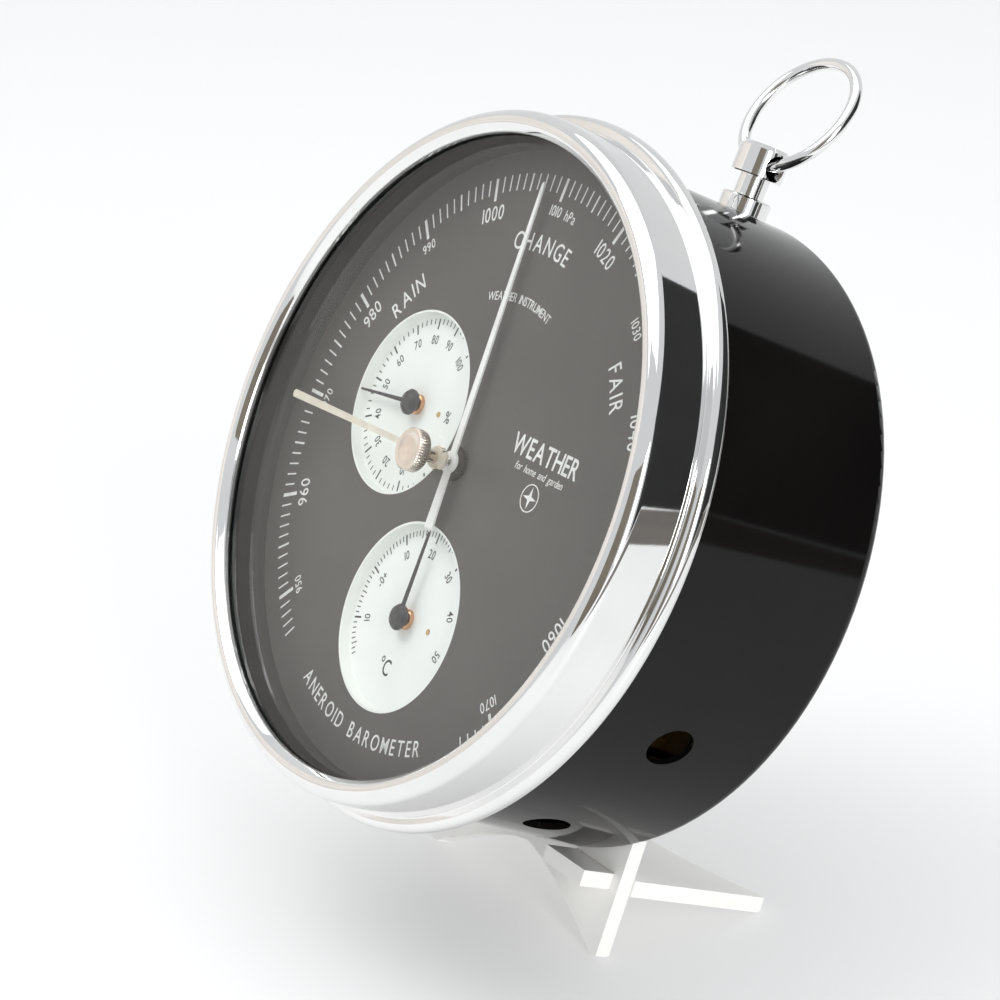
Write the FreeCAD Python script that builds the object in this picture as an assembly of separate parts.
import FreeCAD, Part
import math
import os

# Aneroid barometer with hygrometer and thermometer sub-dials, resting on a two-plate stand.
# Millimetres. The instrument is drawn in its own dial frame and then leaned back onto the stand:
#   x to the right of the dial, y towards twelve o'clock, z out of the dial, z = 0 on the dial face.
# Angles on the dial are degrees clockwise from twelve o'clock.

os.makedirs("parts", exist_ok=True)

# ---- overall sizes ---------------------------------------------------------------
case_radius = 60.0
case_depth = 46.0
case_wall = 1.2
case_edge_round = 2.5
case_front = -2.0
bezel_rim_radius = case_radius + 2.3
bezel_bead_radius = bezel_rim_radius + 2.7
bezel_front = 10.6
bezel_wall = 1.1
bezel_opening_radius = bezel_rim_radius - 4.3
lean_back = 25.5
seat_rise = 16.8742

# ---- clearances, and how far a cutting shape runs past what it cuts ---------------
slip = 0.1
running = 0.05
seat_gap = 0.3
tiny_gap = 0.02
past = 1.0

# ---- dial and glass --------------------------------------------------------------
dial_thickness = 0.8
dial_hole_radius = 2.6
glass_thickness = 2.0
glass_back = 5.9
gasket_thickness = 0.4
spacer_wall = 0.8
subdial_radius = 0.29 * case_radius
subdial_recess = 2.2
subdial_sheet = 0.4
subdial_flange = 1.6
subdial_hole_radius = 1.3
hygro_centre = (-1.224138 * subdial_radius, 0.356322 * subdial_radius)
thermo_centre = (0.0, -1.66092 * subdial_radius)

# ---- hands -----------------------------------------------------------------------
hand_sheet = 0.35
pressure_reading_angle = -4.84
pressure_hand_length = case_radius - 8.3
pressure_tail_length = 12.2
pressure_hand_level = 1.7
pressure_hub_radius = 2.0
set_reading_angle = -91.5
set_hand_length = case_radius - 9.0
set_tail_length = 3.6
set_hand_level = 4.9
hygro_reading_angle = -95.8
hygro_hand_length = subdial_radius - 0.8
thermo_reading_angle = -2.4
thermo_hand_length = subdial_radius - 1.4
small_hub_radius = 2.4
small_bush_radius = 1.9
small_arbor_radius = 0.5
arbor_radius = 0.8

# ---- sub-dial coils --------------------------------------------------------------
coil_turns = 4
coil_inner = 1.5
coil_pitch = 1.2
coil_sheet = 0.3
coil_high = -4.4
coil_low = -8.4
stud_radius = 0.5
stud_collar_radius = 1.0
coil_stud_reach = coil_inner + coil_pitch * coil_turns + coil_sheet + stud_radius + tiny_gap
slit = 0.2

# ---- set knob --------------------------------------------------------------------
knob_radius = 3.85
knob_thickness = 2.4
knob_front = 11.1
knob_spindle_radius = 1.2
knob_teeth = 40
knob_tooth_depth = 0.18
knob_dish_radius = 9.0
knob_dish_depth = 0.6
knob_washer_radius = 2.6
knob_washer_sheet = 0.35

# ---- vents, pendant and bow ------------------------------------------------------
vent_radius = 4.2
vent_level = -0.53 * case_depth
vent_angles = (119.0, 150.0, 210.0, 241.0)
pendant_level = 7.5 - case_depth
pendant_collar_radius = 4.7
pendant_collar_height = 2.6
pendant_neck_radius = 2.85
pendant_neck_height = 3.9
pendant_head_radius = 4.85
pendant_head_height = 6.1
pendant_thread_radius = 2.0
pendant_thread_end = 0.905 * case_radius
pendant_washer_radius = 4.0
pendant_washer_sheet = 0.6
pendant_nut_corner = 3.6
pendant_nut_height = 2.2
bow_axis_height = 1.9
bow_radius = 11.9
bow_wire_radius = 1.16
bow_lean = 20.6

# ---- movement --------------------------------------------------------------------
base_radius = case_radius - 10.0
base_thickness = 1.5
pillar_count = 3
pillar_circle = base_radius - 3.0
pillar_radius = 2.2
pillar_tenon_radius = 1.2
tenon_depth = 1.0
capsule_radius = 0.52 * base_radius
capsule_ridges = 5
capsule_post_gap = 0.9
capsule_tenon_radius = 2.0
spring_width = 20.0
spring_sheet = 1.8
spring_play = 0.15
spring_hinge_y = 0.8 * base_radius
spring_block_length = 10.0
lever_width = 5.0
lever_sheet = 1.0
clamp_sheet = 1.5
small_screw_radius = 1.2
small_screw_head = 2.1
small_screw_grip = 5.0
case_screw_radius = 1.6
case_screw_head = 2.8
case_screw_grip = 1.2
link_radius = 0.6
link_play = 0.4
rocker_axis_y = -0.72 * base_radius
rocker_arm = 5.0
rocker_radius = 1.2
rocker_half_length = 13.0
rocker_pivot_radius = 0.5
chain_radius = 0.3
chain_arm_x = 5.0
chain_links = 22
drum_radius = 0.8
cock_pivot_radius = 0.35
centre_bush_radius = 3.1
centre_bush_teeth = 24
centre_bush_play = 0.25
hairspring_inner = arbor_radius + 1.1
hairspring_pitch = 0.9
hairspring_turns = 5
hairspring_sheet = 0.14
hairspring_height = 0.8
hairspring_end = hairspring_inner + hairspring_pitch * hairspring_turns
bridge_thickness = 1.5
bridge_post_x = 0.62 * base_radius
bridge_post_y = 8.0
bridge_post_radius = 2.5
bridge_tenon_radius = 1.0
adjuster_radius = 1.5
adjuster_y = spring_hinge_y - 3.0

# ---- stand -----------------------------------------------------------------------
stand_angle = 21.0
stand_sheet = 3.0
foot_trim = 0.3
prong_rise = 1.19
prong_inner = 14.5
prong_outer = 26.8
prong_reach = 6.9
cross_tuck = 0.12
cross_half_width = 29.0
cross_foot_inner = 26.4
cross_arch = 10.6
cross_middle_height = 14.5
rear_half_width = 29.5
rear_foot_width = 3.0
rear_arch = 7.0

# ---- derived levels --------------------------------------------------------------
case_inner_radius = case_radius - case_wall
case_floor = -case_depth + case_wall
base_top = case_floor + base_thickness
dial_radius = case_inner_radius - slip
dial_back = -dial_thickness
glass_front = glass_back + glass_thickness
glass_radius = bezel_rim_radius - bezel_wall - 0.4
lever_length = rocker_arm - rocker_axis_y
seat_y = -(case_radius - case_edge_round)
seat_z = -(case_depth - case_edge_round)

# heights of the movement's tiers, as shares of the space between the base plate and the dial
movement_space = dial_back - base_top
capsule_foot = 0.047 * movement_space
capsule_height = 0.188 * movement_space
capsule_top = base_top + capsule_foot + capsule_height
rocker_axis_z = base_top + 0.313 * movement_space
spring_level = base_top + 0.372 * movement_space
cock_level = base_top + 0.492 * movement_space
lever_end_level = base_top + 0.5012 * movement_space
chain_level = base_top + 0.607 * movement_space
bridge_level = base_top + 0.7365 * movement_space
lean = math.radians(lean_back)
splay = math.radians(stand_angle)
dial_height = seat_rise - math.sin(lean) * seat_z - math.cos(lean) * seat_y


# ---- small builders --------------------------------------------------------------
def vec(x, y, z):
    return FreeCAD.Vector(x, y, z)


def disc(radius, low, high, cx=0.0, cy=0.0):
    return Part.makeCylinder(radius, high - low, vec(cx, cy, low))


def tube(outer, inner, low, high, cx=0.0, cy=0.0):
    through = disc(inner, low - past, high + past, cx, cy)
    return disc(outer, low, high, cx, cy).cut(through)


def block(x0, x1, y0, y1, z0, z1):
    return Part.makeBox(x1 - x0, y1 - y0, z1 - z0, vec(x0, y0, z0))


def rod(start, end, radius):
    span = end.sub(start)
    return Part.makeCylinder(radius, span.Length, start, span)


def turned(profile, cx=0.0, cy=0.0):
    """Solid of revolution about a line along z through (cx, cy); profile is a list of (radius, z)."""
    points = [vec(cx + r, cy, z) for r, z in profile]
    face = Part.Face(Part.makePolygon(points + [points[0]]))
    return face.revolve(vec(cx, cy, 0), vec(0, 0, 1), 360)


def sheet(points, low, high):
    """Flat plate with the given outline in x and y."""
    outline = [vec(x, y, low) for x, y in points]
    face = Part.Face(Part.makePolygon(outline + [outline[0]]))
    return face.extrude(vec(0, 0, high - low))


def clockwise(shape, angle, cx=0.0, cy=0.0):
    turned_shape = shape.copy()
    turned_shape.rotate(vec(cx, cy, 0), vec(0, 0, 1), -angle)
    return turned_shape


def joined(shapes):
    whole = shapes[0]
    for shape in shapes[1:]:
        whole = whole.fuse(shape)
    return whole.removeSplitter()


def group(shapes):
    return Part.makeCompound(shapes)


def slotted_screw(x, y, seat, tip, head_radius, shank_radius, head_share=0.6):
    """Cheese-head screw seen slot up: head above its seat, shank down to its tip."""
    top = seat + head_radius * head_share
    head = disc(head_radius, seat, top, x, y)
    slot = block(x - head_radius - past, x + head_radius + past, y - 0.3, y + 0.3, top - 0.5, top + past)
    return head.cut(slot).fuse(disc(shank_radius, tip, seat + 0.2, x, y)).removeSplitter()


# ---- case and front --------------------------------------------------------------
def case_screw_places():
    circle = base_radius * 0.8
    angles = [60.0, 180.0, 300.0]
    return [(circle * math.sin(math.radians(a)), circle * math.cos(math.radians(a))) for a in angles]


def vent_cutter(angle):
    turn = math.radians(angle)
    within = case_radius * 0.7
    beyond = case_radius * 1.2
    start = vec(within * math.sin(turn), within * math.cos(turn), vent_level)
    end = vec(beyond * math.sin(turn), beyond * math.cos(turn), vent_level)
    return rod(start, end, vent_radius)


def case_shell():
    outer = disc(case_radius, -case_depth, case_front)
    rim = [e for e in outer.Edges if abs(e.BoundBox.ZMax + case_depth) < 1e-6 and e.BoundBox.XLength > 1]
    outer = outer.makeFillet(case_edge_round, rim)
    hollow = disc(case_inner_radius, case_floor, case_front + past)
    edge = [e for e in hollow.Edges if abs(e.BoundBox.ZMax - case_floor) < 1e-6 and e.BoundBox.XLength > 1]
    hollow = hollow.makeFillet(case_edge_round - case_wall, edge)
    shell = outer.cut(hollow)
    for angle in vent_angles:
        shell = shell.cut(vent_cutter(angle))
    shell = shell.cut(rod(vec(0, case_radius * 0.8, pendant_level),
                          vec(0, case_radius * 1.1, pendant_level), pendant_thread_radius + slip))
    for x, y in case_screw_places():
        shell = shell.cut(disc(case_screw_radius + slip, -case_depth - past, case_floor + past, x, y))
    return shell.cut(disc(adjuster_radius * 2.0, -case_depth - past, case_floor + past, 0, adjuster_y))


def case_screws():
    """Screws from the back into the base plate, drawn slot up and then turned over."""
    screws = []
    for x, y in case_screw_places():
        screw = slotted_screw(x, -y, case_depth + tiny_gap, -base_top - case_screw_grip,
                              case_screw_head, case_screw_radius)
        screw.rotate(vec(0, 0, 0), vec(1, 0, 0), 180)
        screws.append(screw)
    return group(screws)


def bezel_ring():
    """Spun metal ring: rolled front lip, sloping band, groove, rear bead and a thin flange edge."""
    band_front = bezel_rim_radius
    rear = -3.8
    outside = [
        (bezel_opening_radius, bezel_front - 1.9), (bezel_opening_radius + 0.35, bezel_front - 1.0),
        (bezel_opening_radius + 1.1, bezel_front - 0.25), (bezel_opening_radius + 2.1, bezel_front),
        (band_front - 1.2, bezel_front - 0.35), (band_front - 0.45, bezel_front - 0.95),
        (band_front, bezel_front - 2.1), (band_front + 0.35, 0.4), (band_front + 0.15, 0.0),
        (band_front + 0.15, -0.3), (band_front + 1.1, -0.5), (bezel_bead_radius - 0.5, -1.1),
        (bezel_bead_radius - 0.1, -1.9), (bezel_bead_radius, -2.5), (bezel_bead_radius - 0.25, -3.1),
        (bezel_bead_radius - 0.8, -3.4), (bezel_bead_radius - 0.8, rear),
    ]
    skirt = case_radius + running
    inside = [
        (skirt, rear), (skirt, case_front + slip), (bezel_rim_radius - bezel_wall, case_front + slip),
        (bezel_rim_radius - bezel_wall, glass_front + gasket_thickness + 0.05),
        (bezel_opening_radius, glass_front + gasket_thickness + 0.05),
    ]
    return turned(outside + inside)


def glass_disc():
    return tube(glass_radius, knob_spindle_radius + running, glass_back, glass_front)


def glass_gasket():
    low = glass_front + tiny_gap
    return tube(glass_radius, bezel_opening_radius + 0.3, low, low + gasket_thickness)


def spacer_ring():
    """Angled dark wall between the dial and the glass."""
    foot = case_inner_radius - slip
    high = glass_back - tiny_gap
    wide = glass_radius - slip
    return turned([
        (foot - spacer_wall, tiny_gap), (foot, tiny_gap), (foot, 0.6), (wide, high), (wide - 2.2, high),
        (foot - spacer_wall, 1.6)])


def dial_plate():
    plate = disc(dial_radius, dial_back, 0.0)
    plate = plate.cut(disc(dial_hole_radius, dial_back - past, past))
    for cx, cy in (hygro_centre, thermo_centre):
        plate = plate.cut(disc(subdial_radius, dial_back - past, past, cx, cy))
    return plate


def subdial_cup(centre):
    """Recessed sub-dial: a shallow cup whose flange is fixed behind the main dial."""
    cx, cy = centre
    floor_low = -subdial_recess - subdial_sheet
    cup = disc(subdial_radius - tiny_gap, floor_low, -0.05, cx, cy)
    cup = cup.cut(disc(subdial_radius - subdial_sheet, -subdial_recess, past, cx, cy))
    flange = tube(subdial_radius + subdial_flange, subdial_radius - subdial_sheet,
                  dial_back - tiny_gap - subdial_sheet, dial_back - tiny_gap, cx, cy)
    cup = cup.fuse(flange).removeSplitter()
    bush_hole = disc(subdial_hole_radius + running, floor_low - past, past, cx, cy)
    stud_hole = disc(stud_radius + running, floor_low - past, past, cx + coil_stud_reach, cy)
    return cup.cut(bush_hole).cut(stud_hole)


def subdial_bush(centre):
    """Copper bush through the sub-dial floor that carries the small arbor."""
    cx, cy = centre
    low = -subdial_recess - subdial_sheet
    profile = [
        (small_arbor_radius + running, low - 1.2), (subdial_hole_radius, low - 1.2),
        (subdial_hole_radius, -subdial_recess + tiny_gap),
        (small_bush_radius, -subdial_recess + tiny_gap), (small_bush_radius, -subdial_recess + 0.8),
        (small_bush_radius - 0.6, -subdial_recess + 1.3),
        (small_arbor_radius + running, -subdial_recess + 1.3)]
    return turned(profile, cx, cy)


# ---- sub-dial movements ----------------------------------------------------------
def spiral_strip(inner, pitch, turns, thickness, low, high, cx, cy):
    """Flat strip wound into a spiral, each half turn an arc of its own radius."""
    strip = []
    reach = inner + pitch * (turns + 1)
    for half in range(turns * 2):
        side = 1.0 if half % 2 == 0 else -1.0
        radius = inner + pitch * half / 2.0 + pitch / 4.0
        middle = cx - side * pitch / 4.0
        ring = tube(radius + thickness, radius, low, high, middle, cy)
        near = cy if side > 0 else cy - reach
        keep = block(cx - reach, cx + reach, near, near + reach, low - past, high + past)
        strip.append(ring.common(keep))
    return joined(strip)


def subdial_coil(centre):
    cx, cy = centre
    coil = spiral_strip(coil_inner, coil_pitch, coil_turns, coil_sheet, coil_low, coil_high, cx, cy)
    end = coil_inner + coil_pitch * coil_turns
    collet = tube(coil_inner + coil_sheet, small_arbor_radius + tiny_gap, coil_low, coil_high, cx, cy)
    seam = block(cx - end - slit, cx - end + slit, cy - slit, cy + slit, coil_low, coil_high)
    return joined([coil, collet]).cut(seam)


def coil_studs():
    studs = []
    for cx, cy in (hygro_centre, thermo_centre):
        floor_low = -subdial_recess - subdial_sheet
        post = disc(stud_radius, coil_low, -subdial_recess + 0.1, cx + coil_stud_reach, cy)
        collar = disc(stud_collar_radius, floor_low - 0.8, floor_low - tiny_gap, cx + coil_stud_reach, cy)
        studs.append(post.fuse(collar).removeSplitter())
    return group(studs)


def small_arbor(centre):
    cx, cy = centre
    return disc(small_arbor_radius, coil_low, -0.3, cx, cy)


def small_hand(centre, length, angle):
    """Slim dark hand with a domed round hub."""
    cx, cy = centre
    hub = turned([
        (0.0, -0.7), (small_hub_radius - 0.3, -0.7), (small_hub_radius, -0.4), (small_hub_radius, 0.0),
        (small_hub_radius - 0.5, 0.55), (small_hub_radius - 1.3, 0.9), (0.0, 1.0)], cx, cy)
    bore = disc(small_arbor_radius + tiny_gap, -2, -0.3 + tiny_gap, cx, cy)
    blade = sheet([(cx - 0.45, cy), (cx - 0.2, cy + length), (cx + 0.2, cy + length), (cx + 0.45, cy)],
                  -0.4, -0.4 + hand_sheet)
    return clockwise(joined([hub, blade]).cut(bore), angle, cx, cy)


# ---- pressure hand ---------------------------------------------------------------
def pressure_hand():
    low = pressure_hand_level - hand_sheet
    high = pressure_hand_level
    blade = sheet([
        (-0.85, 0), (-0.42, pressure_hand_length - 0.5), (0, pressure_hand_length),
        (0.42, pressure_hand_length - 0.5), (0.85, 0), (1.2, -pressure_tail_length),
        (-1.2, -pressure_tail_length)], low, high)
    hub = disc(pressure_hub_radius, low, high + 0.25)
    hand = joined([hub, blade]).cut(disc(arbor_radius + tiny_gap, low - past, high + past))
    return clockwise(hand, pressure_reading_angle)


def centre_arbor():
    """Steel arbor: pivots in the cock and the bridge, carries the chain drum and the hand."""
    drum_low = chain_level - 1.2
    return turned([
        (0.0, cock_level - 0.6), (cock_pivot_radius, cock_level - 0.6),
        (cock_pivot_radius, cock_level + 1.4),
        (arbor_radius, cock_level + 1.5), (arbor_radius, drum_low), (drum_radius + 0.6, drum_low),
        (drum_radius + 0.6, drum_low + 0.4), (drum_radius, drum_low + 0.5),
        (drum_radius, drum_low + 1.9), (drum_radius + 0.6, drum_low + 2.0),
        (drum_radius + 0.6, drum_low + 2.4), (arbor_radius, drum_low + 2.4),
        (arbor_radius, pressure_hand_level + 0.5), (0.45, pressure_hand_level + 0.8),
        (0.0, pressure_hand_level + 0.8)])


def toothed_ring(inner, outer, teeth, low, high, depth):
    points = []
    for index in range(teeth):
        for share, radius in ((0.0, outer - depth), (0.3, outer), (0.7, outer), (1.0, outer - depth)):
            turn = 2 * math.pi * (index + 0.9 * share) / teeth
            points.append((radius * math.cos(turn), radius * math.sin(turn)))
    return sheet(points, low, high).cut(disc(inner, low - past, high + past))


def centre_bush():
    """Dark serrated bush around the arbor where it comes through the dial."""
    bore = arbor_radius + centre_bush_play
    collar = toothed_ring(bore, centre_bush_radius, centre_bush_teeth, tiny_gap, 0.8, 0.25)
    sleeve = tube(dial_hole_radius - running, bore, dial_back - 0.6, 0.1)
    return joined([collar, sleeve])


def hairspring():
    top = bridge_level - bridge_thickness - 0.5
    low = top - hairspring_height
    coil = spiral_strip(hairspring_inner, hairspring_pitch, hairspring_turns, hairspring_sheet, low, top,
                        0.0, 0.0)
    seam = block(-hairspring_end - slit, -hairspring_end + slit, -slit, slit, low - past, top + past)
    collet = tube(hairspring_inner + hairspring_sheet, arbor_radius + tiny_gap, low, top)
    return joined([coil, collet]).cut(seam)


def hairspring_stud():
    top = bridge_level - bridge_thickness - tiny_gap
    reach = hairspring_end + hairspring_sheet + stud_radius + tiny_gap
    return disc(stud_radius, top - 2 * hairspring_height, top, reach, 0.0)


# ---- set hand and knob -----------------------------------------------------------
def set_hand():
    low = set_hand_level
    high = low + hand_sheet
    blade = sheet([
        (-0.45, 0), (-0.75, set_hand_length - 0.4), (-0.3, set_hand_length), (0.3, set_hand_length),
        (0.75, set_hand_length - 0.4), (0.45, 0), (1.6, -set_tail_length + 0.7),
        (0.9, -set_tail_length), (-0.9, -set_tail_length), (-1.6, -set_tail_length + 0.7)], low, high)
    eye = disc(1.9, low, high)
    hand = joined([blade, eye]).cut(disc(knob_spindle_radius + tiny_gap, low - past, high + past))
    return clockwise(hand, set_reading_angle)


def set_hand_bush():
    """Nickel boss that clamps the set hand to the spindle from below."""
    high = set_hand_level - tiny_gap
    return turned([
        (0.0, high - 1.9), (1.0, high - 1.9), (1.8, high - 1.5), (2.1, high - 0.9), (2.1, high),
        (knob_spindle_radius + tiny_gap, high), (knob_spindle_radius + tiny_gap, high - 1.2),
        (0.0, high - 1.2)])


def knob_washer():
    low = glass_front + running
    return tube(knob_washer_radius, knob_spindle_radius + running, low, low + knob_washer_sheet)


def set_knob():
    """Knurled knob with a dished front, a stepped neck and the spindle that passes the glass."""
    back = knob_front - knob_thickness
    core_radius = knob_spindle_radius
    body = toothed_ring(core_radius, knob_radius, knob_teeth, back, knob_front, knob_tooth_depth)
    body = joined([body, disc(core_radius, back, knob_front)])
    dish = Part.makeSphere(knob_dish_radius, vec(0, 0, knob_front + knob_dish_radius - knob_dish_depth))
    body = body.cut(dish)
    neck_low = glass_front + running + knob_washer_sheet + tiny_gap
    neck = turned([
        (0.0, set_hand_level - 1.15), (knob_spindle_radius, set_hand_level - 1.15),
        (knob_spindle_radius, neck_low), (2.2, neck_low), (2.2, neck_low + 0.2), (1.7, neck_low + 0.3),
        (1.7, back + 0.3), (0.0, back + 0.3)])
    return joined([body, neck])


# ---- pendant and bow -------------------------------------------------------------
pendant_base = case_radius + 0.35
neck_foot = pendant_base + pendant_collar_height
head_foot = neck_foot + pendant_neck_height
head_top = head_foot + pendant_head_height
bow_axis_y = head_foot + bow_axis_height + 0.5
washer_top = case_inner_radius - 0.25


def upright(shape):
    """Stand a z-axis turning up along y at the pendant's place on the case."""
    stood = shape.copy()
    stood.rotate(vec(0, 0, 0), vec(1, 0, 0), -90)
    stood.translate(vec(0, 0, pendant_level))
    return stood


def bow_tunnel():
    """Flared cross hole that clears the round bow at every angle of swing."""
    reach = pendant_head_radius + 0.5
    steps = 16
    profile = []
    for index in range(-steps, steps + 1):
        across = reach * index / steps
        inner = bow_radius - bow_wire_radius - running
        profile.append(vec(across, bow_radius - math.sqrt(inner ** 2 - across ** 2) + running, 0))
    points = [vec(-reach, 0, 0)] + profile + [vec(reach, 0, 0)]
    face = Part.Face(Part.makePolygon(points + [points[0]]))
    tunnel = face.revolve(vec(0, 0, 0), vec(1, 0, 0), 360)
    tunnel.translate(vec(0, bow_axis_y, pendant_level))
    return tunnel


def pendant_stem():
    stem = turned([
        (0.0, pendant_thread_end), (pendant_thread_radius, pendant_thread_end),
        (pendant_thread_radius, pendant_base), (pendant_collar_radius, pendant_base),
        (pendant_collar_radius, neck_foot - 0.3), (pendant_collar_radius - 0.3, neck_foot),
        (pendant_neck_radius, neck_foot), (pendant_neck_radius, head_foot),
        (pendant_head_radius - 0.2, head_foot), (pendant_head_radius, head_foot + 0.2),
        (pendant_head_radius, head_top - 1.0), (pendant_head_radius - 0.9, head_top - 0.2),
        (0.0, head_top)])
    stem = upright(stem)
    reach = pendant_collar_radius * 2.0
    saddle = rod(vec(0, 0, pendant_level - reach), vec(0, 0, pendant_level + reach), case_radius + tiny_gap)
    skirt = upright(disc(pendant_collar_radius, case_radius * 0.97, pendant_base)).cut(saddle)
    return joined([stem, skirt]).cut(bow_tunnel())


def pendant_washer():
    ring = tube(pendant_washer_radius, pendant_thread_radius + slip, washer_top - pendant_washer_sheet,
                washer_top)
    return upright(ring)


def pendant_nut():
    high = washer_top - pendant_washer_sheet - tiny_gap
    low = high - pendant_nut_height
    corners = [math.radians(60.0 * index) for index in range(6)]
    points = [(pendant_nut_corner * math.cos(a), pendant_nut_corner * math.sin(a)) for a in corners]
    nut = sheet(points, low, high).cut(disc(pendant_thread_radius + tiny_gap, low - past, high + past))
    return upright(nut)


def bow_ring():
    ring = Part.makeTorus(bow_radius, bow_wire_radius, vec(0, bow_radius, 0), vec(0, 0, 1))
    ring.rotate(vec(0, 0, 0), vec(1, 0, 0), -bow_lean)
    ring.translate(vec(0, bow_axis_y, pendant_level))
    return ring


# ---- movement --------------------------------------------------------------------
def pillar_places():
    angles = [20.0 + index * 360.0 / pillar_count for index in range(pillar_count)]
    return [(pillar_circle * math.sin(math.radians(a)), pillar_circle * math.cos(math.radians(a)))
            for a in angles]


def base_plate():
    low = case_floor + tiny_gap
    plate = disc(base_radius, low, base_top)
    for x, y in case_screw_places():
        plate = plate.cut(disc(case_screw_radius + tiny_gap, low - past, base_top + past, x, y))
    for x, y in pillar_places():
        plate = plate.cut(disc(pillar_tenon_radius + tiny_gap, low - past, base_top + past, x, y))
    for x in (-bridge_post_x, bridge_post_x):
        plate = plate.cut(disc(bridge_tenon_radius + tiny_gap, low - past, base_top + past, x,
                               bridge_post_y))
    plate = plate.cut(disc(capsule_tenon_radius + tiny_gap, low - past, base_top + past))
    return plate.cut(disc(adjuster_radius + running, low - past, base_top + past, 0, adjuster_y))


def dial_pillars():
    pillars = []
    for x, y in pillar_places():
        body = disc(pillar_radius, base_top + tiny_gap, dial_back - tiny_gap, x, y)
        tenon = disc(pillar_tenon_radius, base_top - tenon_depth, base_top + 0.5, x, y)
        pillars.append(body.fuse(tenon).removeSplitter())
    return group(pillars)


def capsule():
    """Evacuated capsule: two corrugated diaphragms joined at the rim, on a short foot."""
    low = base_top + capsule_foot
    high = low + capsule_height
    middle = (low + high) / 2.0
    step = (capsule_radius - 6.0) / (capsule_ridges * 2)
    top = [(0.0, high), (5.0, high)]
    for index in range(capsule_ridges * 2):
        drop = 0.9 if index % 2 == 0 else 0.2
        top.append((5.0 + step * (index + 1), high - drop - 0.12 * index))
    rim = [(capsule_radius, middle + 0.5), (capsule_radius, middle - 0.5)]
    bottom = [(r, 2 * middle - z) for r, z in reversed(top[1:])]
    foot = [(4.0, low), (4.0, base_top + tiny_gap), (capsule_tenon_radius, base_top + tiny_gap),
            (capsule_tenon_radius, base_top - 1.2), (0.0, base_top - 1.2)]
    return turned(top + rim + bottom + foot)


def capsule_post():
    """Post on the capsule's upper face whose slot takes the free end of the main spring."""
    low = capsule_top + capsule_post_gap
    post = turned([(0.0, low), (4.0, low), (4.0, low + 0.6), (2.2, low + 1.0),
                   (2.2, spring_level + spring_sheet + 0.9), (0.0, spring_level + spring_sheet + 0.9)])
    slot = block(-5, 5, -1.4, 5, spring_level - spring_play, spring_level + spring_sheet + spring_play)
    return post.cut(slot)


def spring_screw_places():
    return [(-spring_width * 0.33, spring_hinge_y), (spring_width * 0.33, spring_hinge_y)]


def spring_block():
    """Tower on the base plate that carries the clamped end of the main spring."""
    half = spring_width / 2
    high = spring_level - spring_play
    near = spring_hinge_y + spring_block_length / 2 - spring_block_length
    body = block(-half, half, near, near + spring_block_length, base_top + tiny_gap, high)
    adjuster_bore = disc(adjuster_radius + running, base_top - past, base_top + small_screw_grip + past, 0,
                         adjuster_y)
    body = body.cut(adjuster_bore)
    for x, y in spring_screw_places():
        body = body.cut(disc(small_screw_radius + tiny_gap, high - small_screw_grip - past, high + past,
                             x, y))
    return body


def spring_clamp():
    """Flat bar screwed down over the end of the main spring."""
    half = spring_width / 2
    low = spring_level + spring_sheet + spring_play
    bar = block(-half, half, spring_hinge_y - 3.5, spring_hinge_y + 3.5, low, low + clamp_sheet)
    for x, y in spring_screw_places():
        bar = bar.cut(disc(small_screw_radius + tiny_gap, low - past, low + clamp_sheet + past, x, y))
    return bar


def main_spring():
    """Strong flat strip from the clamp to the capsule's post, tapering to a short tongue."""
    half = spring_width / 2
    end = spring_hinge_y + spring_block_length / 2
    high = spring_level + spring_sheet
    strip = sheet([(-half, end), (-half, end - 14.0), (-3.5, 3.2), (-1.9, 3.2), (-1.9, -1.2), (1.9, -1.2),
                   (1.9, 3.2), (3.5, 3.2), (half, end - 14.0), (half, end)], spring_level, high)
    for x, y in spring_screw_places():
        strip = strip.cut(disc(small_screw_radius + spring_play, spring_level - past, high + past, x, y))
    return strip


def spring_screws():
    seat = spring_level + spring_sheet + spring_play + clamp_sheet + tiny_gap
    tip = spring_level - spring_play - small_screw_grip
    return group([slotted_screw(x, y, seat, tip, small_screw_head, small_screw_radius)
                  for x, y in spring_screw_places()])


def main_lever():
    """Lever riveted on the main spring; it forks round the capsule's post and reaches the link."""
    low = spring_level + spring_sheet + tiny_gap
    high = low + lever_sheet
    half = lever_width / 2
    fork_inner, fork_outer = 4.2, 6.0
    pad = block(-fork_outer, fork_outer, 7.0, 16.0, low, high)
    left = block(-fork_outer, -fork_inner, -8.0, 8.0, low, high)
    right = block(fork_inner, fork_outer, -8.0, 8.0, low, high)
    cross = block(-fork_outer, fork_outer, -11.0, -7.0, low, high)
    bend_y = -lever_length + 8.0
    slope = [(-9.0, low), (-11.0, high), (bend_y, lever_end_level), (bend_y, lever_end_level - lever_sheet)]
    points = [vec(-half, y, z) for y, z in slope]
    arm = Part.Face(Part.makePolygon(points + [points[0]])).extrude(vec(lever_width, 0, 0))
    tip = block(-half, half, -lever_length - 2.5, bend_y + 0.1, lever_end_level - lever_sheet,
                lever_end_level)
    lever = joined([pad, left, right, cross, arm, tip])
    hole = disc(link_radius + link_play, lever_end_level - lever_sheet - past, lever_end_level + past, 0,
                -lever_length)
    return lever.cut(hole)


def lever_rivets():
    low = spring_level + spring_sheet + tiny_gap + lever_sheet + tiny_gap
    return group([disc(1.3, low, low + 0.6, x, 12.0) for x in (-3.5, 3.5)])


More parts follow.
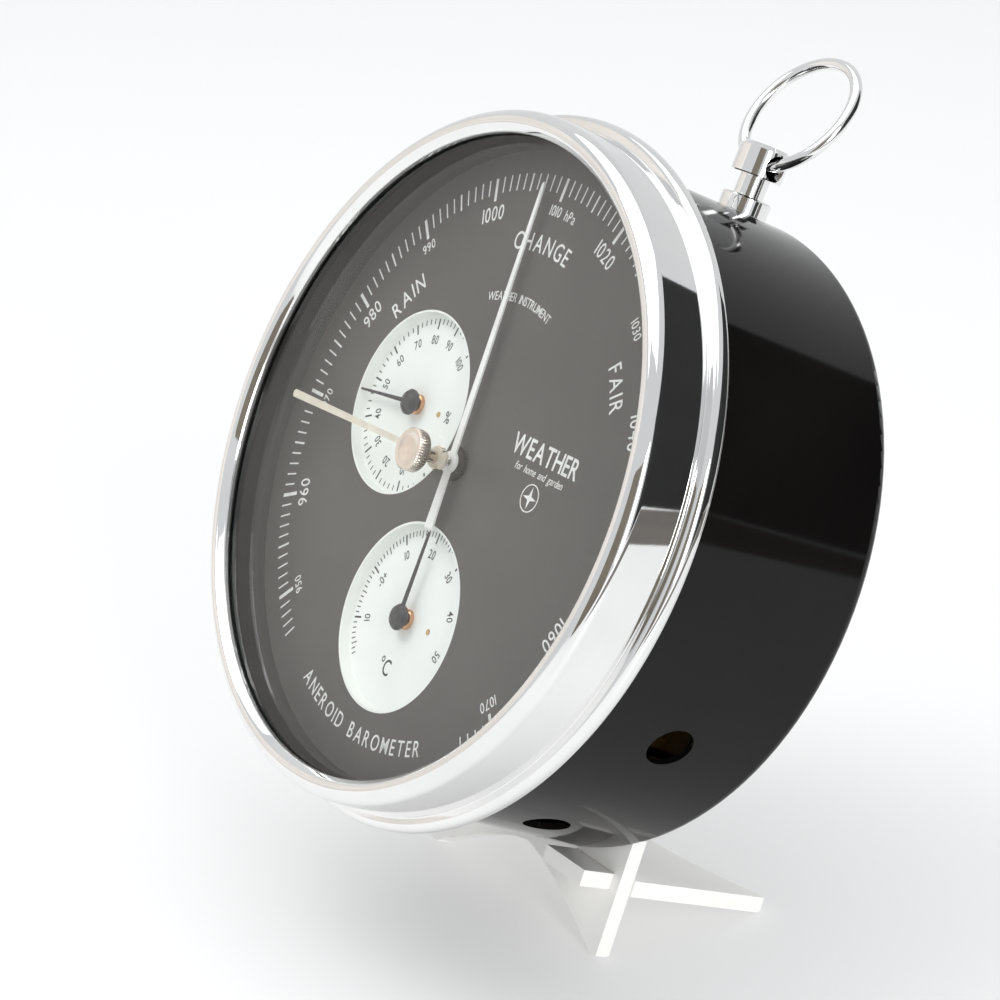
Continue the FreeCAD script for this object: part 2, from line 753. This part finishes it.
def link_rod():
    """Short upright link between the lever's end and the rocker's short arm."""
    y = -lever_length
    shank = disc(link_radius, rocker_axis_z - 1.6, lever_end_level + 0.6, 0, y)
    collar = disc(1.4, lever_end_level + 0.3, lever_end_level + 1.1, 0, y)
    foot = disc(1.4, rocker_axis_z - 2.0, rocker_axis_z - 1.2, 0, y)
    return joined([shank, collar, foot])


def rocker():
    """Rocking bar: a cross shaft with a short arm for the link and a tall arm for the chain."""
    half = rocker_half_length
    shaft = rod(vec(-half, rocker_axis_y, rocker_axis_z), vec(half, rocker_axis_y, rocker_axis_z),
                rocker_radius)
    pivots = rod(vec(-half - 1.6, rocker_axis_y, rocker_axis_z),
                 vec(half + 1.6, rocker_axis_y, rocker_axis_z), rocker_pivot_radius)
    short = block(-1.9, 1.9, rocker_axis_y - rocker_arm - 2.2, rocker_axis_y, rocker_axis_z - 0.5,
                  rocker_axis_z + 0.5)
    short = short.cut(disc(link_radius + link_play, rocker_axis_z - past, rocker_axis_z + past, 0,
                           -lever_length))
    x = chain_arm_x
    tall = block(x - 0.6, x + 0.6, rocker_axis_y - 1.0, rocker_axis_y + 1.0, rocker_axis_z, chain_level + 1.0)
    eye = rod(vec(x - past, rocker_axis_y, chain_level), vec(x + past, rocker_axis_y, chain_level),
              chain_radius + running)
    return joined([shaft, pivots, short, tall.cut(eye)])


def rocker_brackets():
    """Two upright brackets that carry the rocker's pivots."""
    brackets = []
    for side in (-1, 1):
        x0 = side * (rocker_half_length + 0.3)
        x1 = side * (rocker_half_length + 1.8)
        low_x, high_x = min(x0, x1), max(x0, x1)
        wall = block(low_x, high_x, rocker_axis_y - 2.5, rocker_axis_y + 2.5, base_top + tiny_gap,
                     rocker_axis_z + 2.5)
        wall = wall.cut(rod(vec(low_x - past, rocker_axis_y, rocker_axis_z),
                            vec(high_x + past, rocker_axis_y, rocker_axis_z), rocker_pivot_radius + running))
        foot_x = side * (rocker_half_length + 6.5)
        foot = block(min(x0, foot_x), max(x0, foot_x), rocker_axis_y - 2.5, rocker_axis_y + 2.5,
                     base_top + tiny_gap, base_top + 1.2)
        brackets.append(joined([wall, foot]))
    return group(brackets)


def chain():
    """Fine chain of alternating links from the rocker's tall arm to the drum on the arbor."""
    x_near = drum_radius + chain_radius + 0.25
    start = vec(x_near, 1.5, chain_level)
    end = vec(chain_arm_x - 1.2, rocker_axis_y, chain_level)
    span = end.sub(start)
    core = rod(start, end, chain_radius * 0.7)
    beads = []
    for index in range(chain_links):
        middle = start.add(FreeCAD.Vector(span).multiply((index + 0.5) / chain_links))
        beads.append(Part.makeSphere(chain_radius, middle))
    return joined([core] + beads)


def bridge_plate():
    """Strap across two posts that holds the upper pivot of the centre arbor."""
    low = bridge_level - bridge_thickness
    ends = bridge_post_x
    points = [(-ends - 3, bridge_post_y + 3), (-ends - 3, bridge_post_y - 3), (-8, -5), (8, -5),
              (ends + 3, bridge_post_y - 3), (ends + 3, bridge_post_y + 3), (8, 13), (-8, 13)]
    plate = sheet(points, low, bridge_level)
    plate = plate.cut(disc(arbor_radius + running, low - past, bridge_level + past))
    for x in (-ends, ends):
        plate = plate.cut(disc(small_screw_radius + slip, low - past, bridge_level + past, x, bridge_post_y))
    return plate


def bridge_posts():
    posts = []
    for x in (-bridge_post_x, bridge_post_x):
        body = disc(bridge_post_radius, base_top + tiny_gap, bridge_level - bridge_thickness - tiny_gap, x,
                    bridge_post_y)
        tenon = disc(bridge_tenon_radius, base_top - tenon_depth, base_top + 0.5, x, bridge_post_y)
        bore = disc(small_screw_radius + tiny_gap, bridge_level - small_screw_grip - past, bridge_level, x,
                    bridge_post_y)
        posts.append(body.fuse(tenon).removeSplitter().cut(bore))
    return group(posts)


def bridge_screws():
    seat = bridge_level + tiny_gap
    tip = bridge_level - small_screw_grip
    return group([slotted_screw(x, bridge_post_y, seat, tip, small_screw_head, small_screw_radius)
                  for x in (-bridge_post_x, bridge_post_x)])


def arbor_cock():
    """Bracket hung under the bridge that holds the lower pivot of the centre arbor."""
    top = bridge_level - bridge_thickness - tiny_gap
    ear = block(-4, 4, 8.5, 12.5, top - 1.2, top)
    leg = block(-4, 4, 8.5, 9.9, cock_level, top)
    shelf = block(-4, 4, -3.0, 9.9, cock_level, cock_level + 1.2)
    cock = joined([ear, leg, shelf])
    return cock.cut(disc(cock_pivot_radius + running, cock_level - past, cock_level + 1.2 + past))


def adjusting_screw():
    """Slotted screw reached through the hole in the back; it sets the spring block's height."""
    seat = -case_floor + slip
    tip = -base_top - small_screw_grip
    screw = slotted_screw(0, -adjuster_y, seat, tip, adjuster_radius + 0.9, adjuster_radius, 0.38)
    screw.rotate(vec(0, 0, 0), vec(1, 0, 0), 180)
    return screw


# ---- stand -----------------------------------------------------------------------
def onto_stand(shape):
    """Lean an instrument shape back and lift it to its height above the floor."""
    leaned = shape.copy()
    leaned.rotate(vec(0, 0, 0), vec(1, 0, 0), 90.0 - lean_back)
    leaned.translate(vec(0, 0, dial_height))
    return leaned


def case_envelope(gap):
    """The case's rear outline grown by a gap, to trim whatever holds the case."""
    body = disc(case_radius + gap, -case_depth - gap, 0)
    rim = [e for e in body.Edges if abs(e.BoundBox.ZMax + case_depth + gap) < 1e-6
           and e.BoundBox.XLength > 1]
    return onto_stand(body.makeFillet(case_edge_round + gap, rim))


def stand_planes():
    """Where the case's rounded lower rear edge puts the two plates, measured square to each one:
    the height of the rear plate's top and the distance back of the cross plate's front."""
    back = -math.cos(lean) * seat_z + math.sin(lean) * seat_y
    top = math.sin(splay) * back + math.cos(splay) * seat_rise - case_edge_round + prong_rise
    front = math.cos(splay) * back - math.sin(splay) * seat_rise + case_edge_round - cross_tuck
    return top, front


def plate_frame(shape):
    """Place a plate drawn with x across, y up the cross plate and z out of its front face."""
    placed = shape.copy()
    placed.rotate(vec(0, 0, 0), vec(1, 0, 0), 90.0 - stand_angle)
    return placed


def floor_cut(plate):
    far = case_radius * 3.0
    return plate.cut(block(-far, far, -far, far, -far, 0))


def arch_points(half, height, power):
    """Underside arch between two feet, as (x, height) from right to left."""
    across = 10
    points = []
    for index in range(across * 2 + 1):
        x = half * (1.0 - index / across)
        points.append((x, height * (1.0 - (abs(x) / half) ** power)))
    return points


def cross_plate():
    """Upright plate: two feet under an arch, a hollow top that follows the case, two slots."""
    top, front = stand_planes()
    rear_face = -front - stand_sheet
    foot = -rear_face * math.tan(splay) - foot_trim
    points = [(cross_half_width, foot), (cross_foot_inner, foot)]
    points += [(x, foot + foot_trim + rise) for x, rise in arch_points(cross_foot_inner, cross_arch, 1.35)]
    points += [(-cross_foot_inner, foot), (-cross_half_width, foot)]
    hollow = case_radius - case_edge_round / 2.0
    low = foot + foot_trim + cross_middle_height
    steps = 24
    for index in range(steps + 1):
        x = -cross_half_width + 2 * cross_half_width * index / steps
        points.append((x, low + hollow - math.sqrt(hollow ** 2 - x ** 2)))
    plate = sheet(points, rear_face, -front)
    for side in (-1, 1):
        inner = side * (prong_inner - slip)
        outer = side * (prong_outer + slip)
        plate = plate.cut(block(min(inner, outer), max(inner, outer), top - stand_sheet - slip, top + slip,
                                rear_face - past, -front + past))
    return floor_cut(plate_frame(plate)).cut(case_envelope(seat_gap))


def rear_plate():
    """Sloping plate: two prongs pass forward through the cross plate, two feet reach the floor."""
    top, front = stand_planes()
    low = top - stand_sheet
    rear_face = -front - stand_sheet - running
    tip = -low / math.tan(splay)
    end = tip - foot_trim / math.tan(splay)
    inner = rear_half_width - rear_foot_width
    points = [(rear_half_width, rear_face), (rear_half_width, end), (inner, end)]
    points += [(x, tip + rise) for x, rise in arch_points(inner, rear_arch, 2.0)]
    points += [(-inner, end), (-rear_half_width, end), (-rear_half_width, rear_face)]
    outline = [vec(x, low, z) for x, z in points]
    plate = Part.Face(Part.makePolygon(outline + [outline[0]])).extrude(vec(0, stand_sheet, 0))
    prongs = [block(min(side * prong_inner, side * prong_outer), max(side * prong_inner, side * prong_outer),
                    low, top, rear_face - past, -front + prong_reach) for side in (-1, 1)]
    return floor_cut(plate_frame(joined([plate] + prongs))).cut(case_envelope(seat_gap))


# ---- whole object ----------------------------------------------------------------
def instrument_parts():
    return {
        "case_shell": case_shell(),
        "case_screws": case_screws(),
        "bezel_ring": bezel_ring(),
        "glass_disc": glass_disc(),
        "glass_gasket": glass_gasket(),
        "spacer_ring": spacer_ring(),
        "dial_plate": dial_plate(),
        "hygrometer_cup": subdial_cup(hygro_centre),
        "thermometer_cup": subdial_cup(thermo_centre),
        "hygrometer_bush": subdial_bush(hygro_centre),
        "thermometer_bush": subdial_bush(thermo_centre),
        "hygrometer_hand": small_hand(hygro_centre, hygro_hand_length, hygro_reading_angle),
        "thermometer_hand": small_hand(thermo_centre, thermo_hand_length, thermo_reading_angle),
        "hygrometer_arbor": small_arbor(hygro_centre),
        "thermometer_arbor": small_arbor(thermo_centre),
        "hygrometer_coil": subdial_coil(hygro_centre),
        "thermometer_coil": subdial_coil(thermo_centre),
        "coil_studs": coil_studs(),
        "pressure_hand": pressure_hand(),
        "centre_arbor": centre_arbor(),
        "centre_bush": centre_bush(),
        "hairspring": hairspring(),
        "hairspring_stud": hairspring_stud(),
        "set_hand": set_hand(),
        "set_hand_bush": set_hand_bush(),
        "knob_washer": knob_washer(),
        "set_knob": set_knob(),
        "pendant_stem": pendant_stem(),
        "pendant_washer": pendant_washer(),
        "pendant_nut": pendant_nut(),
        "bow_ring": bow_ring(),
        "base_plate": base_plate(),
        "dial_pillars": dial_pillars(),
        "capsule": capsule(),
        "capsule_post": capsule_post(),
        "spring_block": spring_block(),
        "spring_clamp": spring_clamp(),
        "main_spring": main_spring(),
        "spring_screws": spring_screws(),
        "main_lever": main_lever(),
        "lever_rivets": lever_rivets(),
        "link_rod": link_rod(),
        "rocker": rocker(),
        "rocker_brackets": rocker_brackets(),
        "chain": chain(),
        "bridge_plate": bridge_plate(),
        "bridge_posts": bridge_posts(),
        "bridge_screws": bridge_screws(),
        "arbor_cock": arbor_cock(),
        "adjusting_screw": adjusting_screw(),
    }


def middle_depth(front_shape, rear_shape):
    """Half way between the foremost and rearmost points, where the origin is put."""
    front = front_shape.optimalBoundingBox(False, False).YMin
    rear = rear_shape.optimalBoundingBox(False, False).YMax
    return (front + rear) / 2.0


def write_parts():
    placed = {name: onto_stand(shape) for name, shape in instrument_parts().items()}
    placed["cross_plate"] = cross_plate()
    placed["rear_plate"] = rear_plate()
    middle = middle_depth(placed["bezel_ring"], placed["bow_ring"])
    print("origin is", round(middle, 4), "behind the dial centre")
    for name, shape in placed.items():
        shape.translate(vec(0, -middle, 0))
        shape.exportStep("parts/" + name + ".step")


write_parts()
